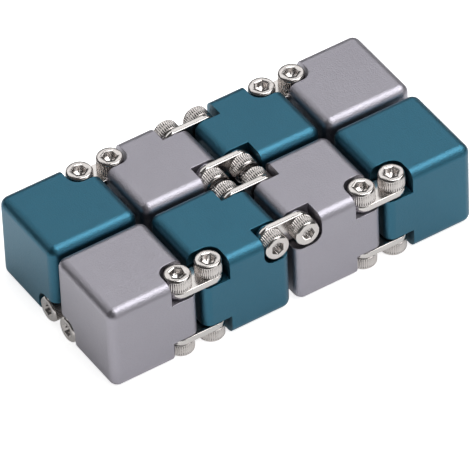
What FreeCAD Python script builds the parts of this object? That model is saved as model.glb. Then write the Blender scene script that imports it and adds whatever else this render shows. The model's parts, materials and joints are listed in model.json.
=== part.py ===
"""Folding fidget cube: eight metal blocks in a closed loop, joined by eight double-pivot hinges.

Each hinge is a pair of flat links, one at each end of the edge that two blocks share.
A socket-head screw pivots each end of a link in a pocket milled into the block's corner.
Millimetres; the loop lies flat, four blocks long (X), two deep (Y) and one high (Z).
The origin is the centre of the underside.
"""
import FreeCAD
import Part
import Sketcher
import os
from math import pi

SIZES = [
    ("side", 20.0, "side of a block"),
    ("gap", 1.2, "space between two blocks"),
    ("edge_radius", 2.0, "rounding of a block's edges"),
    ("screw_inset", 2.9, "from a pivot to each of the two faces beside it"),
    ("shank_radius", 1.5, "screw thread, outside"),
    ("shank_length", 5.0, "screw length under the head"),
    ("head_radius", 2.75, "screw head"),
    ("head_height", 3.0, "screw head"),
    ("head_chamfer", 0.35, "rim of the screw head"),
    ("socket_width", 2.5, "hexagon key size, across flats"),
    ("socket_depth", 1.3, "straight part of the hexagon socket"),
    ("socket_cone", 0.5, "height of the drill point below the socket"),
    ("link_radius", 2.75, "rounded end of a link"),
    ("link_thickness", 1.5, "link plate"),
    ("link_chamfer", 0.15, "broken edges of a link"),
    ("mill_radius", 2.5, "inner corner of a pocket"),
    ("wall_clearance", 0.4, "from a head or a link to the pocket's wall"),
    ("seat_radius", 2.2, "raised seat under a link"),
    ("seat_height", 0.4, "raised seat under a link"),
    ("axial_play", 0.05, "above and below a link"),
    ("pivot_clearance", 0.08, "link hole around the screw, radial"),
    ("thread_clearance", 0.02, "tapped hole around the screw, radial"),
    ("drill_runout", 0.3, "tapped hole beyond the screw's tip"),
]

COLUMNS = 4
ROWS = 2
ROW_LETTERS = "fb"
AXES = "xyz"
END_NAMES = {"x": ("left", "right"), "y": ("front", "back"), "z": ("bottom", "top")}

# A hinge: its name, its two blocks, the axis across the gap, the pivots' axis,
# and the face of both blocks that it lies beside, as an axis and a side.
HINGES = [
    ("f12", ("f1", "f2"), "x", "z", ("y", -1)),
    ("f23", ("f2", "f3"), "x", "y", ("z", 1)),
    ("f34", ("f3", "f4"), "x", "z", ("y", -1)),
    ("b12", ("b1", "b2"), "x", "z", ("y", 1)),
    ("b23", ("b2", "b3"), "x", "y", ("z", 1)),
    ("b34", ("b3", "b4"), "x", "z", ("y", 1)),
    ("fb1", ("f1", "b1"), "y", "x", ("z", -1)),
    ("fb4", ("f4", "b4"), "y", "x", ("z", -1)),
]

HALF = "sizes.side / 2"
PIVOT = "(sizes.side / 2 - sizes.screw_inset)"
LINK_PITCH = "(2 * sizes.screw_inset + sizes.gap)"
LINK_BASE = "(sizes.head_height + sizes.axial_play + sizes.link_thickness)"
SEAT_TOP = f"({LINK_BASE} + sizes.axial_play)"
POCKET_DEPTH = f"({SEAT_TOP} + sizes.seat_height)"
POCKET_WALL = "(max(sizes.head_radius; sizes.link_radius) + sizes.wall_clearance)"
MILL_CENTRE = f"({POCKET_WALL} - sizes.mill_radius)"
OVERRUN = "(2 * sizes.screw_inset)"
HOLE_DEPTH = "(sizes.head_height + sizes.shank_length + sizes.drill_runout)"

document = FreeCAD.newDocument("fidget_cube")
parts = []


def add_sizes():
    """The sheet of driving sizes: a name, a number and what it measures."""
    sheet = document.addObject("Spreadsheet::Sheet", "sizes")
    for row, (name, value, meaning) in enumerate(SIZES, start=1):
        sheet.set(f"A{row}", name)
        sheet.set(f"B{row}", str(value))
        sheet.set(f"C{row}", meaning)
        sheet.setAlias(f"B{row}", name)
    document.recompute()


def bind(feature, **expressions):
    """Tie each named property of a feature to an expression of the sheet."""
    for name, expression in expressions.items():
        feature.setExpression(name, str(expression))


def put(feature, x="0", y="0", z="0"):
    """Tie a feature's position to three expressions."""
    for name, expression in zip(AXES, (x, y, z)):
        feature.setExpression(f"Placement.Base.{name}", str(expression))


def add_body(name):
    """A new sub-part, which is exported under its name."""
    body = document.addObject("PartDesign::Body", name)
    body.Label = name
    parts.append(body)
    return body


def unit(axis, sign):
    """The unit vector along an axis, to one side."""
    return FreeCAD.Vector(*[sign if letter == axis else 0 for letter in AXES])


def turn_to(x_axis, y_axis, z_axis):
    """The rotation that takes the three axes to the given ones."""
    return FreeCAD.Rotation(x_axis, y_axis, z_axis, "ZXY")


def right_handed(first, second, out):
    """Two directions, in the order that makes a right-handed frame with the outward one."""
    if first.cross(second).dot(out) < 0:
        return second, first
    return first, second


def block_centre(block):
    """The centre of a block, as an expression for each axis."""
    row = ROW_LETTERS.index(block[0])
    column = int(block[1]) - 1
    return {
        "x": f"{column - (COLUMNS - 1) / 2} * (sizes.side + sizes.gap)",
        "y": f"{row - (ROWS - 1) / 2} * (sizes.side + sizes.gap)",
        "z": HALF,
    }


def pocket_corners(block):
    """The block's four pivots: two directions out of the pocket's open sides, and one along the pin."""
    for _, pair, across, pin, (face, side) in HINGES:
        if block in pair:
            toward_partner = 1 if block == pair[0] else -1
            for end in (-1, 1):
                yield unit(across, toward_partner), unit(face, side), unit(pin, end)


def put_in_corner(feature, first, second, out, offsets):
    """Set a feature in a pivot's frame, whose origin is on the pin's line at the block's face."""
    feature.Placement.Rotation = turn_to(first, second, out)
    for direction, start, offset in zip((first, second, out), (PIVOT, PIVOT, HALF), offsets):
        index = max(range(3), key=lambda position: abs(direction[position]))
        sign = "" if direction[index] > 0 else "-"
        feature.setExpression(f"Placement.Base.{AXES[index]}", f"{sign}1 * ({start} + {offset})")


def cut_pocket(body, first, second, out):
    """Mill the pocket, leave a seat on its floor, and drill the tapped hole."""
    first, second = right_handed(first, second, out)
    length = f"{POCKET_DEPTH} + {OVERRUN}"
    long_side = f"{POCKET_WALL} + {OVERRUN}"
    short_side = f"{MILL_CENTRE} + {OVERRUN}"
    floor = f"-{POCKET_DEPTH}"
    for width, depth, x, y in (
        (long_side, short_side, POCKET_WALL, MILL_CENTRE),
        (short_side, long_side, MILL_CENTRE, POCKET_WALL),
    ):
        slab = body.newObject("PartDesign::SubtractiveBox", "pocket_slab")
        bind(slab, Length=width, Width=depth, Height=length)
        put_in_corner(slab, first, second, out, (f"-{x}", f"-{y}", floor))
    corner = body.newObject("PartDesign::SubtractiveCylinder", "pocket_corner")
    bind(corner, Radius="sizes.mill_radius", Height=length)
    put_in_corner(corner, first, second, out, (f"-{MILL_CENTRE}", f"-{MILL_CENTRE}", floor))
    seat = body.newObject("PartDesign::AdditiveCylinder", "link_seat")
    bind(seat, Radius="sizes.seat_radius", Height="sizes.seat_height")
    put_in_corner(seat, first, second, out, ("0", "0", floor))
    hole = body.newObject("PartDesign::SubtractiveCylinder", "tapped_hole")
    bind(hole, Radius="sizes.shank_radius + sizes.thread_clearance", Height=HOLE_DEPTH)
    put_in_corner(hole, first, second, out, ("0", "0", f"-{HOLE_DEPTH}"))


def add_block(name):
    """A rounded cube with a pocket at each end of its two hinge edges."""
    body = add_body(f"block_{name}")
    cube = body.newObject("PartDesign::AdditiveBox", "cube")
    bind(cube, Length="sizes.side", Width="sizes.side", Height="sizes.side")
    put(cube, f"-{HALF}", f"-{HALF}", f"-{HALF}")
    document.recompute()
    rounding = body.newObject("PartDesign::Fillet", "rounding")
    rounding.Base = (cube, [])
    rounding.UseAllEdges = True
    bind(rounding, Radius="sizes.edge_radius")
    for first, second, out in pocket_corners(name):
        cut_pocket(body, first, second, out)
    put(body, **block_centre(name))


def draw_link_outline(body):
    """The link's outline: two half circles joined by straight sides, with a hole at each centre."""
    sketch = body.newObject("Sketcher::SketchObject", "link_outline")
    plane = [item for item in body.Origin.OriginFeatures if item.Role == "XY_Plane"][0]
    sketch.AttachmentSupport = (plane, "")
    sketch.MapMode = "FlatFace"
    up = FreeCAD.Vector(0, 0, 1)
    centres = FreeCAD.Vector(-2, 0, 0), FreeCAD.Vector(2, 0, 0)
    rise = FreeCAD.Vector(0, 1, 0)
    left_arc = sketch.addGeometry(Part.ArcOfCircle(Part.Circle(centres[0], up, 1), pi / 2, 3 * pi / 2))
    right_arc = sketch.addGeometry(Part.ArcOfCircle(Part.Circle(centres[1], up, 1), -pi / 2, pi / 2))
    lower = sketch.addGeometry(Part.LineSegment(centres[0] - rise, centres[1] - rise))
    upper = sketch.addGeometry(Part.LineSegment(centres[1] + rise, centres[0] + rise))
    holes = [sketch.addGeometry(Part.Circle(centre, up, 0.5)) for centre in centres]
    start, end, middle, origin = 1, 2, 3, -1
    for first, point, second, other in (
        (left_arc, end, lower, start),
        (lower, end, right_arc, start),
        (right_arc, end, upper, start),
        (upper, end, left_arc, start),
    ):
        sketch.addConstraint(Sketcher.Constraint("Tangent", first, point, second, other))
    for arc, hole in zip((left_arc, right_arc), holes):
        sketch.addConstraint(Sketcher.Constraint("Coincident", arc, middle, hole, middle))
    sketch.addConstraint(Sketcher.Constraint("PointOnObject", left_arc, middle, origin))
    sketch.addConstraint(Sketcher.Constraint("Equal", left_arc, right_arc))
    sketch.addConstraint(Sketcher.Constraint("Equal", *holes))
    ends = (left_arc, middle, right_arc, middle)
    sketch.addConstraint(Sketcher.Constraint("Symmetric", *ends, origin, start))
    sized = {
        LINK_PITCH: Sketcher.Constraint("DistanceX", *ends, 4),
        "sizes.link_radius": Sketcher.Constraint("Radius", left_arc, 1),
        "sizes.shank_radius + sizes.pivot_clearance": Sketcher.Constraint("Radius", holes[0], 0.5),
    }
    for expression, constraint in sized.items():
        index = sketch.addConstraint(constraint)
        sketch.setExpression(f"Constraints[{index}]", expression)
    return sketch


def add_link(hinge, pair, across, pin, face, end):
    """A flat link whose two holes lie on the pivots of the two blocks, at one end of their edge."""
    body = add_body(f"link_{hinge}_{END_NAMES[pin][end > 0]}")
    outline = draw_link_outline(body)
    plate = body.newObject("PartDesign::Pad", "plate")
    plate.Profile = outline
    bind(plate, Length="sizes.link_thickness")
    document.recompute()
    flat = [f"Face{number}" for number, side in enumerate(plate.Shape.Faces, start=1)
            if abs(side.normalAt(0, 0).z) > 0.9]
    broken = body.newObject("PartDesign::Chamfer", "broken_edges")
    broken.Base = (plate, flat)
    bind(broken, Size="sizes.link_chamfer")
    out = unit(pin, end)
    along = unit(across, 1)
    body.Placement.Rotation = turn_to(along, out.cross(along), out)
    first, second = block_centre(pair[0]), block_centre(pair[1])
    place = dict(first)
    place[across] = f"(({first[across]}) + ({second[across]})) / 2"
    place[face[0]] = f"{first[face[0]]} + {face[1]} * {PIVOT}"
    place[pin] = f"{first[pin]} + {end} * ({HALF} - {LINK_BASE})"
    put(body, **place)


def add_screw(hinge, block, toward_partner, across, pin, face, end):
    """A socket-head cap screw, its head flush with the block's face."""
    body = add_body(f"screw_{hinge}_{block}_{END_NAMES[pin][end > 0]}")
    head = body.newObject("PartDesign::AdditiveCylinder", "head")
    bind(head, Radius="sizes.head_radius", Height="sizes.head_height")
    document.recompute()
    rim = [f"Edge{number}" for number, edge in enumerate(head.Shape.Edges, start=1)
           if len(edge.Vertexes) == 1 and edge.CenterOfMass.z > head.Height.Value / 2]
    bevel = body.newObject("PartDesign::Chamfer", "rim_bevel")
    bevel.Base = (head, rim)
    bind(bevel, Size="sizes.head_chamfer")
    shank = body.newObject("PartDesign::AdditiveCylinder", "shank")
    bind(shank, Radius="sizes.shank_radius", Height="sizes.shank_length")
    put(shank, z="-sizes.shank_length")
    socket = body.newObject("PartDesign::SubtractivePrism", "hexagon_socket")
    socket.Polygon = 6
    bind(socket, Circumradius="sizes.socket_width / sqrt(3)", Height="sizes.socket_depth")
    put(socket, z="sizes.head_height - sizes.socket_depth")
    point = body.newObject("PartDesign::SubtractiveCone", "drill_point")
    bind(point, Radius1=0, Radius2="sizes.socket_width / 2", Height="sizes.socket_cone")
    put(point, z="sizes.head_height - sizes.socket_depth - sizes.socket_cone")
    out = unit(pin, end)
    along = unit(across, 1)
    body.Placement.Rotation = turn_to(along, out.cross(along), out)
    place = block_centre(block)
    place[across] += f" + {toward_partner} * {PIVOT}"
    place[face[0]] += f" + {face[1]} * {PIVOT}"
    place[pin] += f" + {end} * ({HALF} - sizes.head_height)"
    put(body, **place)


def check(items):
    """Stop if any object failed to build or any sub-part isn't one valid solid."""
    for item in items:
        if "Invalid" in item.State or "Error" in item.State:
            raise RuntimeError(f"{item.Label} failed: {item.State}")
    for part in parts:
        if part.Shape.isNull() or not part.Shape.isValid() or len(part.Shape.Solids) != 1:
            raise RuntimeError(f"{part.Label} is not one valid solid")


add_sizes()
for row_letter in ROW_LETTERS:
    for column_number in range(1, COLUMNS + 1):
        add_block(f"{row_letter}{column_number}")
for hinge_name, blocks, gap_axis, pin_axis, hinge_face in HINGES:
    for pin_end in (-1, 1):
        add_link(hinge_name, blocks, gap_axis, pin_axis, hinge_face, pin_end)
        for block_name, partner_side in zip(blocks, (1, -1)):
            add_screw(hinge_name, block_name, partner_side, gap_axis, pin_axis, hinge_face, pin_end)
document.recompute()
check(document.Objects)

os.makedirs("parts", exist_ok=True)
for part in parts:
    part.Shape.exportStep(f"parts/{part.Label}.step")
    print(part.Label, round(part.Shape.Volume, 2))
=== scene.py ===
"""The fidget cube's looks: blocks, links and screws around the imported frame, in metres."""
import json
import math
import random

import bmesh
import bpy
from mathutils import Matrix, Vector


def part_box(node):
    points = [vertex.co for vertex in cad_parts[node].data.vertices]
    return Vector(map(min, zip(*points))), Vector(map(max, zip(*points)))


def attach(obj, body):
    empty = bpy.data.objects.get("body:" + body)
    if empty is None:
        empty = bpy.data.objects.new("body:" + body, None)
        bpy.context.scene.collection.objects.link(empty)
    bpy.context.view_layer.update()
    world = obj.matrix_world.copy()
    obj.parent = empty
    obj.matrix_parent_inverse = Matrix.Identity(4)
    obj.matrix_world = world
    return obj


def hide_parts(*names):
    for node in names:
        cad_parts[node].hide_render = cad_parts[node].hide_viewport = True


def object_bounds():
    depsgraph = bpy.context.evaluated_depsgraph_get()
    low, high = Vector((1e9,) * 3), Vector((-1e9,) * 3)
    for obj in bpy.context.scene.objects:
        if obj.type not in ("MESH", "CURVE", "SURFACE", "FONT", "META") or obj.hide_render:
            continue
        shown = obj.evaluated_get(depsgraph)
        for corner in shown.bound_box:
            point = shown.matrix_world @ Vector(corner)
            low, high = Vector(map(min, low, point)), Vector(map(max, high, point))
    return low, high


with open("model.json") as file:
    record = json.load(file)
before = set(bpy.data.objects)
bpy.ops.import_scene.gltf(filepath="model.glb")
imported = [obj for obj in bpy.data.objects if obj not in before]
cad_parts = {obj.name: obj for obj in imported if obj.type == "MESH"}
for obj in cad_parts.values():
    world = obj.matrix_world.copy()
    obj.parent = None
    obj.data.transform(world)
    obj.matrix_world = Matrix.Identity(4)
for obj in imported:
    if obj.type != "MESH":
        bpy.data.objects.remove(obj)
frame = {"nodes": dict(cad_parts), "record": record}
cad_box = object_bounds()

MM = 0.001
EDGE_RADIUS = 2.0 * MM
EDGE_STEPS = 12
RIM_BEVEL = 0.13 * MM

HEAD_RADIUS = 2.75 * MM
HEAD_HEIGHT = 3.0 * MM
SHANK_RADIUS = 1.5 * MM
SHANK_LENGTH = 5.0 * MM
LINK_RADIUS = 2.75 * MM
LINK_THICKNESS = 1.5 * MM
LINK_HOLE_RADIUS = 1.58 * MM
LINK_BEVEL = 0.2 * MM
LINK_END_STEPS = 24
LINK_HOLE_STEPS = 32

MILL_RADIUS = 2.5 * MM
POCKET_WALL = 3.15 * MM
POCKET_DEPTH = 5.0 * MM
POCKET_STEPS = 14
OVERRUN = 4.0 * MM
SEAT_RADIUS = 2.2 * MM
SEAT_HEIGHT = 0.4 * MM
SEAT_STEPS = 48

OUTWARD = {
    "left": Vector((-1, 0, 0)),
    "right": Vector((1, 0, 0)),
    "front": Vector((0, -1, 0)),
    "back": Vector((0, 1, 0)),
    "bottom": Vector((0, 0, -1)),
    "top": Vector((0, 0, 1)),
}


# ---------------------------------------------------------------- materials

def colour(code):
    """A linear colour from an sRGB hex value."""
    channels = [int(code[place:place + 2], 16) / 255 for place in (1, 3, 5)]
    linear = [value / 12.92 if value <= 0.04045 else ((value + 0.055) / 1.055) ** 2.4
              for value in channels]
    return (*linear, 1.0)


def node(tree, kind, inputs=(), **settings):
    """Add a shader node, set its own settings, and fill or link its inputs."""
    made = tree.nodes.new(kind)
    for name, value in settings.items():
        setattr(made, name, value)
    for name, value in dict(inputs).items():
        if isinstance(value, bpy.types.NodeSocket):
            tree.links.new(value, made.inputs[name])
        else:
            made.inputs[name].default_value = value
    return made


def new_material(name):
    """An empty material, and its tree and output node."""
    material = bpy.data.materials.new(name)
    material.use_nodes = True
    tree = material.node_tree
    tree.nodes.clear()
    output = node(tree, "ShaderNodeOutputMaterial")
    return material, tree, output


def anodised_aluminium(name, dye, pale_dye):
    """Bead-blasted aluminium with a dyed oxide film: a soft sheen, a fine grain, a clear gloss over it."""
    material, tree, output = new_material(name)
    place = node(tree, "ShaderNodeTexCoord").outputs["Object"]
    # The beads leave dimples of about 0.1 mm; drawn three times as coarse, so that they show.
    grain = node(tree, "ShaderNodeTexNoise", {"Vector": place, "Scale": 1 / (0.3 * MM),
                                              "Detail": 2.0, "Roughness": 0.6})
    cloud = node(tree, "ShaderNodeTexNoise", {"Vector": place, "Scale": 1 / (9 * MM), "Detail": 3.0})
    tint = node(tree, "ShaderNodeMix", {"Factor": cloud.outputs["Fac"], "A": colour(dye),
                                        "B": colour(pale_dye)}, data_type="RGBA")
    sheen = node(tree, "ShaderNodeMapRange", {"Value": grain.outputs["Fac"], "From Min": 0.25,
                                              "From Max": 0.75, "To Min": 0.35, "To Max": 0.46})
    dimples = node(tree, "ShaderNodeBump", {"Height": grain.outputs["Fac"], "Strength": 1.0,
                                            "Distance": 0.08 * MM})
    shader = node(tree, "ShaderNodeBsdfPrincipled", {"Base Color": tint.outputs["Result"], "Metallic": 1.0,
                                                     "Roughness": sheen.outputs["Result"],
                                                     "Normal": dimples.outputs["Normal"],
                                                     "Coat Weight": 0.5, "Coat Roughness": 0.4})
    tree.links.new(shader.outputs["BSDF"], output.inputs["Surface"])
    return material


def steel(name, base, rough_low, rough_high, scratch_mm):
    """Nickel-plated or polished steel: bright, with faint scuffs that change its gloss."""
    material, tree, output = new_material(name)
    place = node(tree, "ShaderNodeTexCoord").outputs["Object"]
    scuffs = node(tree, "ShaderNodeTexNoise", {"Vector": place, "Scale": 1 / (scratch_mm * MM),
                                               "Detail": 4.0, "Roughness": 0.65})
    gloss = node(tree, "ShaderNodeMapRange", {"Value": scuffs.outputs["Fac"], "From Min": 0.3,
                                              "From Max": 0.7, "To Min": rough_low,
                                              "To Max": rough_high})
    relief = node(tree, "ShaderNodeBump", {"Height": scuffs.outputs["Fac"], "Strength": 0.08,
                                           "Distance": 0.02 * MM})
    shader = node(tree, "ShaderNodeBsdfPrincipled", {"Base Color": colour(base), "Metallic": 1.0,
                                                     "Roughness": gloss.outputs["Result"],
                                                     "Normal": relief.outputs["Normal"]})
    tree.links.new(shader.outputs["BSDF"], output.inputs["Surface"])
    return material


# ---------------------------------------------------------------- mesh helpers

def add_object(name, made):
    """A new object from a bmesh, linked into the scene."""
    mesh = bpy.data.meshes.new(name)
    made.to_mesh(mesh)
    made.free()
    thing = bpy.data.objects.new(name, mesh)
    bpy.context.scene.collection.objects.link(thing)
    return thing


def smooth_by_angle(made, degrees):
    """Smooth faces, with sharp edges only where they turn by more than the angle."""
    limit = math.radians(degrees)
    for face in made.faces:
        face.smooth = True
    for edge in made.edges:
        edge.smooth = len(edge.link_faces) == 2 and edge.calc_face_angle() < limit


def apply_modifiers(thing):
    """Turn an object's modifiers into its mesh."""
    graph = bpy.context.evaluated_depsgraph_get()
    made = bpy.data.meshes.new_from_object(thing.evaluated_get(graph))
    old = thing.data
    thing.modifiers.clear()
    thing.data = made
    bpy.data.meshes.remove(old)


def loft(rings):
    """A closed skin over rings of points, each ring as many points as the next."""
    made = bmesh.new()
    loops = [[made.verts.new(point) for point in ring] for ring in rings]
    for lower, upper in zip(loops, loops[1:]):
        count = len(lower)
        for index in range(count):
            after = (index + 1) % count
            made.faces.new((lower[index], lower[after], upper[after], upper[index]))
    made.faces.new(reversed(loops[0]))
    made.faces.new(loops[-1])
    return made


def ring(radius, height, count):
    """Points of a horizontal ring, whose radius may depend on the angle."""
    points = []
    for index in range(count):
        angle = 2 * math.pi * index / count
        reach = radius(angle) if callable(radius) else radius
        points.append((reach * math.cos(angle), reach * math.sin(angle), height))
    return points


# ---------------------------------------------------------------- pieces

HINGE_ENDS = {}
for name in frame["nodes"]:
    words = name.split("_")
    if words[0] == "screw":
        HINGE_ENDS.setdefault(words[2], []).append(name)


def box_centre(name):
    """The centre of a frame node's box."""
    low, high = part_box(name)
    return (Vector(low) + Vector(high)) / 2


def frame_turn(first, second, out):
    """A rotation matrix from three right-handed directions."""
    return Matrix((first, second, out)).transposed()


def pocket_tool(corner, first, second, out):
    """The solid that a mill leaves in a block's corner: a deep notch with a rounded inner corner."""
    if first.cross(second).dot(out) < 0:
        first, second = second, first
    inner = MILL_RADIUS - POCKET_WALL
    outline = [(OVERRUN, -POCKET_WALL), (OVERRUN, OVERRUN), (-POCKET_WALL, OVERRUN)]
    for step in range(POCKET_STEPS + 1):
        angle = math.pi + (math.pi / 2) * step / POCKET_STEPS
        outline.append((inner + MILL_RADIUS * math.cos(angle), inner + MILL_RADIUS * math.sin(angle)))
    turn = frame_turn(first, second, out)
    rings = []
    for height in (-POCKET_DEPTH, OVERRUN):
        rings.append([corner + turn @ Vector((x, y, height)) for x, y in outline])
    return loft(rings)


def cut(thing, tool, operation):
    """Add a boolean step to a block."""
    step = thing.modifiers.new("mill", "BOOLEAN")
    step.operation = operation
    step.solver = "EXACT"
    step.object = tool


def make_block(name, material):
    """A rounded cube with four milled corner pockets, their rims broken by a fine bevel."""
    node_name = f"block_{name}"
    low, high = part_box(node_name)
    centre = (Vector(low) + Vector(high)) / 2
    side = high[0] - low[0]
    made = bmesh.new()
    bmesh.ops.create_cube(made, size=side, matrix=Matrix.Translation(centre))
    bmesh.ops.bevel(made, geom=made.edges[:], offset=EDGE_RADIUS, segments=EDGE_STEPS, profile=0.5,
                    affect="EDGES", clamp_overlap=True)
    block = add_object(f"anodised_block_{name}", made)
    tools = []
    for screw in HINGE_ENDS[name]:
        out = OUTWARD[screw.split("_")[3]]
        pin = box_centre(screw)
        offset = pin - centre
        axes = (OUTWARD["right"], OUTWARD["back"], OUTWARD["top"])
        sides = [axis for axis in axes if not axis.dot(out)]
        first, second = [axis * math.copysign(1, axis.dot(offset)) for axis in sides]
        corner = pin - out * pin.dot(out) + out * (centre.dot(out) + side / 2)
        tools.append(add_object("pocket", pocket_tool(corner, first, second, out)))
        cut(block, tools[-1], "DIFFERENCE")
        turn = out.to_track_quat("Z", "Y").to_matrix()
        seat_rings = [
            [corner + turn @ Vector(point) for point in ring(SEAT_RADIUS, height, SEAT_STEPS)]
            for height in (-POCKET_DEPTH - SEAT_HEIGHT, -POCKET_DEPTH + SEAT_HEIGHT)
        ]
        tools.append(add_object("seat", loft(seat_rings)))
        cut(block, tools[-1], "UNION")
    apply_modifiers(block)
    for tool in tools:
        bpy.data.objects.remove(tool)
    rim = block.modifiers.new("rim", "BEVEL")
    rim.width = RIM_BEVEL
    rim.segments = 2
    rim.limit_method = "ANGLE"
    rim.angle_limit = math.radians(35)
    apply_modifiers(block)
    made = bmesh.new()
    made.from_mesh(block.data)
    smooth_by_angle(made, 40)
    made.to_mesh(block.data)
    made.free()
    flat = block.modifiers.new("flat faces", "WEIGHTED_NORMAL")
    flat.keep_sharp = True
    apply_modifiers(block)
    block.data.materials.clear()
    block.data.materials.append(material)
    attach(block, body_of_node[node_name])
    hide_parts(node_name)
    return block


KNURLS = 36
KNURL_STEPS = 6
KNURL_DEPTH = 0.24 * MM
KNURL_FOOT = 0.25 * MM
RIM_CHAMFER = 0.35 * MM
SOCKET_HALF = 1.25 * MM
SOCKET_DEPTH = 1.3 * MM
SOCKET_CONE = 0.5 * MM
SOCKET_BEVEL = 0.12 * MM


def knurled(radius):
    """A radius that dips in a fine groove at each knurl."""
    def reach(angle):
        wave = 0.5 - 0.5 * math.cos(angle * KNURLS)
        return radius - KNURL_DEPTH * wave ** 2
    return reach


def hexagonal(half_width):
    """A radius that follows a hexagon of the given half width."""
    def reach(angle):
        turned = (angle + math.pi / 6) % (math.pi / 3) - math.pi / 6
        return half_width / math.cos(turned)
    return reach


def screw_mesh():
    """A socket-head cap screw along Z, the head's underside at zero."""
    count = KNURLS * KNURL_STEPS
    top = HEAD_HEIGHT
    rows = [
        (SHANK_RADIUS - 0.3 * MM, -SHANK_LENGTH),
        (SHANK_RADIUS, -SHANK_LENGTH + 0.3 * MM),
        (SHANK_RADIUS, 0),
        (HEAD_RADIUS - 0.2 * MM, 0),
        (HEAD_RADIUS - 0.04 * MM, 0.06 * MM),
        (HEAD_RADIUS - 0.02 * MM, 0.18 * MM),
        (knurled(HEAD_RADIUS), KNURL_FOOT),
        (knurled(HEAD_RADIUS), top - RIM_CHAMFER - 0.25 * MM),
        (HEAD_RADIUS - 0.02 * MM, top - RIM_CHAMFER - 0.14 * MM),
        (HEAD_RADIUS - 0.03 * MM, top - RIM_CHAMFER),
        (HEAD_RADIUS - 0.08 * MM, top - RIM_CHAMFER + 0.08 * MM),
        (HEAD_RADIUS - RIM_CHAMFER + 0.05 * MM, top - 0.03 * MM),
        (HEAD_RADIUS - RIM_CHAMFER, top),
        (hexagonal(SOCKET_HALF + SOCKET_BEVEL), top),
        (hexagonal(SOCKET_HALF), top - SOCKET_BEVEL),
        (hexagonal(SOCKET_HALF), top - SOCKET_DEPTH),
        (SOCKET_HALF, top - SOCKET_DEPTH - 0.02 * MM),
        (0.15 * MM, top - SOCKET_DEPTH - SOCKET_CONE),
    ]
    made = loft([ring(radius, height, count) for radius, height in rows])
    smooth_by_angle(made, 28)
    return made


def make_screw(name, material, spin):
    """One screw, its head flush with its block's face and its socket turned at random."""
    out = OUTWARD[name.split("_")[3]]
    low, high = (Vector(corner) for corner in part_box(name))
    face = max(low.dot(out), high.dot(out))
    middle = (low + high) / 2
    underside = middle + out * (face - HEAD_HEIGHT - middle.dot(out))
    turn = out.to_track_quat("Z", "Y").to_matrix().to_4x4()
    made = screw_mesh()
    made.transform(Matrix.Translation(underside) @ turn @ Matrix.Rotation(spin, 4, "Z"))
    piece = add_object(name.replace("screw", "cap_screw"), made)
    piece.data.materials.append(material)
    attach(piece, body_of_node[name])
    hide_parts(name)
    return piece


def make_link(name, material):
    """A flat link: a rounded plate with two holes, its edges broken."""
    end = name.split("_")[2]
    out = OUTWARD[end]
    low, high = (Vector(corner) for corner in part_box(name))
    size = high - low
    centre = (low + high) / 2
    along = Vector((1, 0, 0)) if size.x > size.y and size.x > size.z else Vector((0, 1, 0))
    reach = size.dot(along) / 2 - LINK_RADIUS
    turn = frame_turn(along, out.cross(along), out)
    rings = []
    for inset, height in ((LINK_BEVEL, 0), (0, LINK_BEVEL), (0, LINK_THICKNESS - LINK_BEVEL),
                          (LINK_BEVEL, LINK_THICKNESS)):
        outline = []
        for side, start in ((1, -math.pi / 2), (-1, math.pi / 2)):
            for step in range(LINK_END_STEPS + 1):
                angle = start + math.pi * step / LINK_END_STEPS
                radius = LINK_RADIUS - inset
                point = (side * reach + radius * math.cos(angle), radius * math.sin(angle),
                         height - LINK_THICKNESS / 2)
                outline.append(centre + turn @ Vector(point))
        rings.append(outline)
    link = add_object(name.replace("link", "hinge_link"), loft(rings))
    tools = []
    for side in (1, -1):
        hole = [[centre + turn @ (Vector(point) + Vector((side * reach, 0, 0)))
                 for point in ring(LINK_HOLE_RADIUS, height, LINK_HOLE_STEPS)]
                for height in (-LINK_THICKNESS, LINK_THICKNESS)]
        tools.append(add_object("hole", loft(hole)))
        cut(link, tools[-1], "DIFFERENCE")
    apply_modifiers(link)
    for tool in tools:
        bpy.data.objects.remove(tool)
    made = bmesh.new()
    made.from_mesh(link.data)
    smooth_by_angle(made, 50)
    made.to_mesh(link.data)
    made.free()
    flat = link.modifiers.new("flat faces", "WEIGHTED_NORMAL")
    flat.keep_sharp = True
    apply_modifiers(link)
    link.data.materials.clear()
    link.data.materials.append(material)
    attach(link, body_of_node[name])
    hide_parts(name)
    return link


body_of_node = {}
for body, names in frame["record"]["behaviour"]["bodies"].items():
    for name in names:
        body_of_node[name] = body

teal = anodised_aluminium("bead_blasted_teal_anodised_aluminium", "#26637A", "#2B697F")
grey = anodised_aluminium("bead_blasted_grey_anodised_aluminium", "#A09DA6", "#A6A3AC")
screw_steel = steel("nickel_plated_steel", "#D2CDCA", 0.16, 0.26, 0.5)
link_steel = steel("polished_stainless_steel", "#D5D1CE", 0.14, 0.24, 1.2)

TEAL_BLOCKS = ("f2", "f4", "b1", "b3")
random.seed(7)
for name in sorted(frame["nodes"]):
    kind = name.split("_")[0]
    if kind == "block":
        label = name.split("_")[1]
        is_teal = label in TEAL_BLOCKS
        block = make_block(label, teal if is_teal else grey)
    elif kind == "link":
        make_link(name, link_steel)
    else:
        make_screw(name, screw_steel, random.uniform(0, math.pi / 3))


# ---------------------------------------------------------------- stage, lamps and camera

FLOOR_HALF = 0.3
FLOOR_DROP = 0.02 * MM


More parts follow.
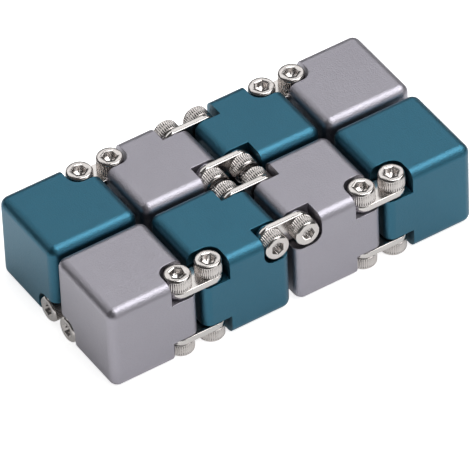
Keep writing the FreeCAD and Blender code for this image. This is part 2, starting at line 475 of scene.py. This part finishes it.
def make_floor():
    """A white floor, clear from below."""
    made = bmesh.new()
    bmesh.ops.create_grid(made, x_segments=1, y_segments=1, size=FLOOR_HALF)
    floor = add_object("floor", made)
    floor.location.z = cad_box[0][2] - FLOOR_DROP
    material, tree, output = new_material("matt_white_paper")
    path = node(tree, "ShaderNodeLightPath")
    under = node(tree, "ShaderNodeNewGeometry").outputs["Backfacing"]
    paper = node(tree, "ShaderNodeBsdfDiffuse", {"Color": colour("#F4F4F4"), "Roughness": 0.5})
    seen_glow = node(tree, "ShaderNodeMath", {0: path.outputs["Is Camera Ray"], 1: 0.82},
                     operation="MULTIPLY")
    glow_strength = node(tree, "ShaderNodeMath", {0: path.outputs["Is Glossy Ray"], 1: 0.2,
                                                  2: seen_glow.outputs[0]}, operation="MULTIPLY_ADD")
    glow = node(tree, "ShaderNodeEmission", {"Color": colour("#FFFFFF"),
                                             "Strength": glow_strength.outputs[0]})
    lit = node(tree, "ShaderNodeAddShader", {0: paper.outputs[0], 1: glow.outputs[0]})
    clear = node(tree, "ShaderNodeBsdfTransparent")
    seen = node(tree, "ShaderNodeMixShader", {0: under, 1: lit.outputs[0], 2: clear.outputs[0]})
    tree.links.new(seen.outputs[0], output.inputs["Surface"])
    floor.data.materials.append(material)


def make_world():
    """A dim studio around the object, and a white backdrop where the camera looks past it."""
    world = bpy.data.worlds.new("studio")
    bpy.context.scene.world = world
    world.use_nodes = True
    tree = world.node_tree
    tree.nodes.clear()
    output = node(tree, "ShaderNodeOutputWorld")
    path = node(tree, "ShaderNodeLightPath")
    dim = node(tree, "ShaderNodeBackground", {"Color": colour("#FFFFFF"), "Strength": 0.06})
    white = node(tree, "ShaderNodeBackground", {"Color": colour("#FFFFFF"), "Strength": 1.0})
    mixed = node(tree, "ShaderNodeMixShader", {0: path.outputs["Is Camera Ray"], 1: dim.outputs[0],
                                               2: white.outputs[0]})
    tree.links.new(mixed.outputs[0], output.inputs["Surface"])


def softbox(name, azimuth, elevation, distance, width, height, power):
    """A rectangular lamp that faces the object."""
    lamp = bpy.data.lights.new(name, "AREA")
    lamp.shape = "RECTANGLE"
    lamp.size = width
    lamp.size_y = height
    lamp.energy = power
    place = bpy.data.objects.new(name, lamp)
    turn, lift = math.radians(azimuth), math.radians(elevation)
    toward = Vector((math.cos(lift) * math.sin(turn), -math.cos(lift) * math.cos(turn), math.sin(lift)))
    place.location = toward * distance
    place.rotation_euler = toward.to_track_quat("Z", "Y").to_euler()
    bpy.context.scene.collection.objects.link(place)


def make_camera():
    """A long lens at the object's front left, looking down on it."""
    azimuth, elevation, roll = math.radians(-31.15), math.radians(43.47), math.radians(-2.643)
    distance = 1.439
    toward = Vector((math.cos(elevation) * math.sin(azimuth), -math.cos(elevation) * math.cos(azimuth),
                     math.sin(elevation)))
    ahead = -toward
    right = ahead.cross(Vector((0, 0, 1))).normalized()
    up = right.cross(ahead)
    rolled_right = math.cos(roll) * right + math.sin(roll) * up
    rolled_up = math.cos(roll) * up - math.sin(roll) * right
    data = bpy.data.cameras.new("camera")
    data.sensor_width = 36
    data.lens = 561.4
    data.shift_x = -0.0071
    data.shift_y = 0.0224
    data.clip_start = 0.01
    camera = bpy.data.objects.new("camera", data)
    camera.matrix_world = Matrix.Translation(toward * distance) @ frame_turn(
        rolled_right, rolled_up, toward).to_4x4()
    bpy.context.scene.collection.objects.link(camera)
    bpy.context.scene.camera = camera


make_floor()
make_world()
softbox("main_softbox", 66, 64, 0.9, 0.82, 0.82, 7.8)
softbox("back_softbox", 176, 47, 1.0, 1.8, 0.46, 3.1)
softbox("front_card", 15, 24, 1.0, 0.9, 0.4, 1.3)
make_camera()
bpy.context.scene.view_settings.view_transform = "Standard"
